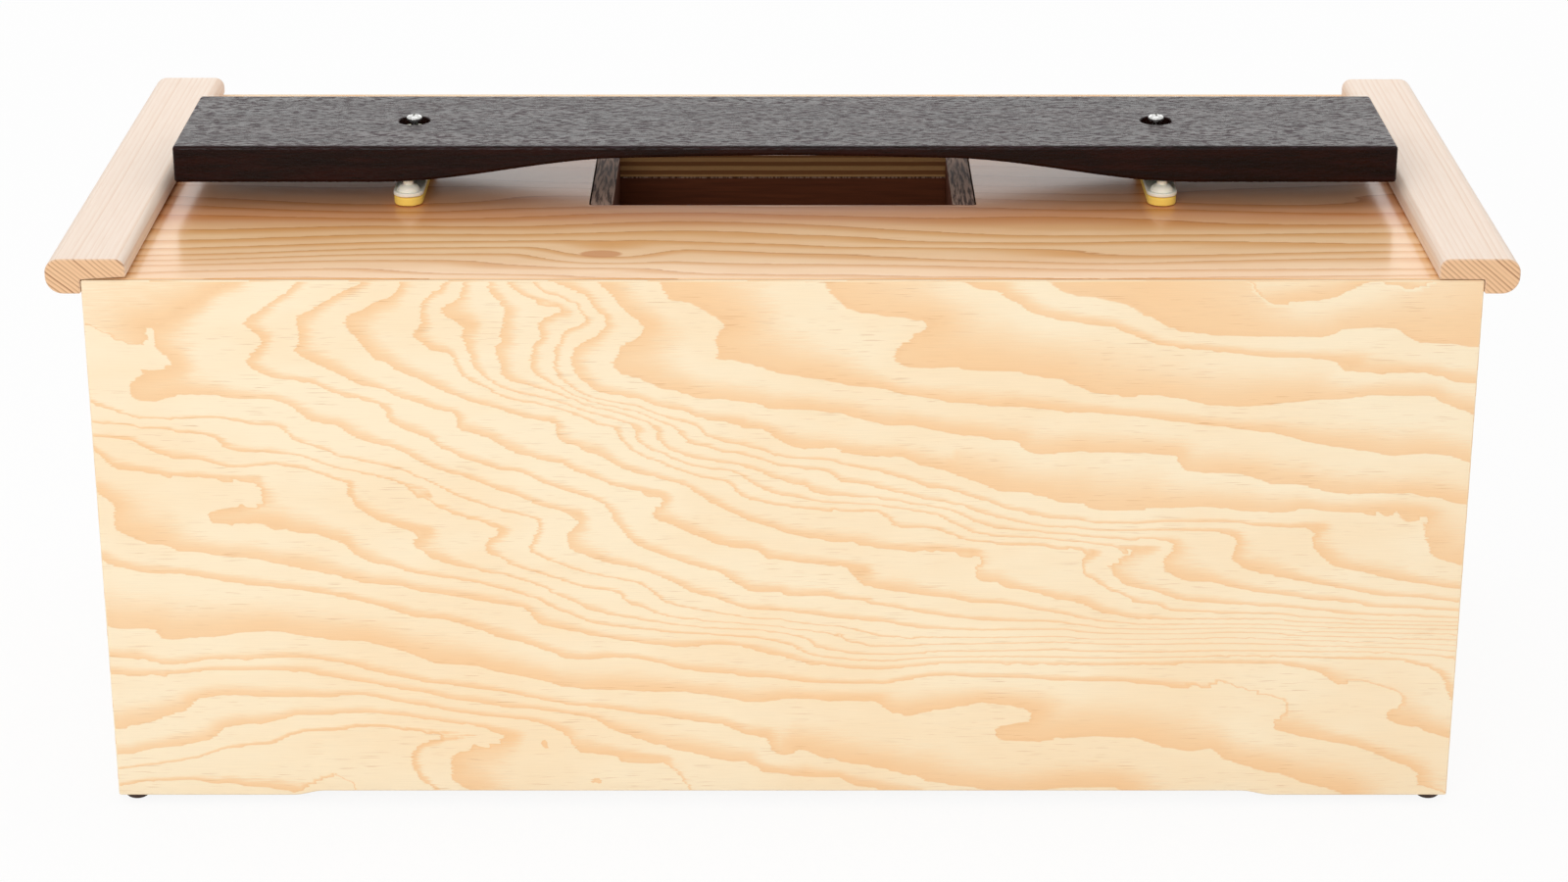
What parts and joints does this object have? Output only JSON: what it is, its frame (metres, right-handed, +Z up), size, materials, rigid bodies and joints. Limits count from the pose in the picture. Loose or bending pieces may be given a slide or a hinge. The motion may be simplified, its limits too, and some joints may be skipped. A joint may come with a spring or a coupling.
{
  "type": "resonator bar",
  "caption": "Bass resonator bar: a tuned dark hardwood bar held by screws on felt-backed rests over a ported pine plywood sound box with handle rails.",
  "frame": {"origin": "on the floor under the middle of the object's bounding box", "axes": "+X along the bar to the player's right, +Y from the front panel to the rear, +Z up; the pictured front faces -Y"},
  "size_m": [0.7144, 0.3326, 0.3177],
  "materials": {
    "pine_plywood": "rotary-cut pine plywood, thin satin lacquer",
    "lacquered_top": "flat-sawn pine plywood, glossy clear lacquer",
    "duct_wood": "plain pine board, unlacquered",
    "rail_pine": "straight-grained pale pine, satin",
    "stained_hardwood": "dark stained open-pored hardwood, satin lacquer",
    "white_moulding": "soft moulded off-white, satin",
    "yellow_felt": "dense pressed wool felt",
    "zinc_steel": "bright zinc plated",
    "brown_rubber": "matt dark brown rubber"
  },
  "bodies": {
    "sound_box": {"front_panel": "pine_plywood", "rear_panel": "pine_plywood", "left_side_panel": "pine_plywood", "right_side_panel": "pine_plywood", "base_panel": "pine_plywood", "top_panel": "lacquered_top", "duct_board_left": "duct_wood", "duct_board_right": "duct_wood", "duct_board_front": "duct_wood", "duct_board_rear": "duct_wood", "handle_rail_left": "rail_pine", "handle_rail_right": "rail_pine", "bar_support_left": "white_moulding", "bar_support_right": "white_moulding", "felt_pad_left": "yellow_felt", "felt_pad_right": "yellow_felt", "screw_sleeve_left": "white_moulding", "screw_sleeve_right": "white_moulding", "bar_screw_left": "zinc_steel", "bar_screw_right": "zinc_steel", "foot_front_left": "brown_rubber", "foot_front_right": "brown_rubber", "foot_rear_left": "brown_rubber", "foot_rear_right": "brown_rubber"},
    "bar": {"tone_bar": "stained_hardwood"}
  },
  "joints": [
    {"name": "bar_lift", "type": "slide", "parent": "sound_box", "child": "bar", "axis": [0, 0, 1], "range_m": [0, 0.06]}
  ]
}
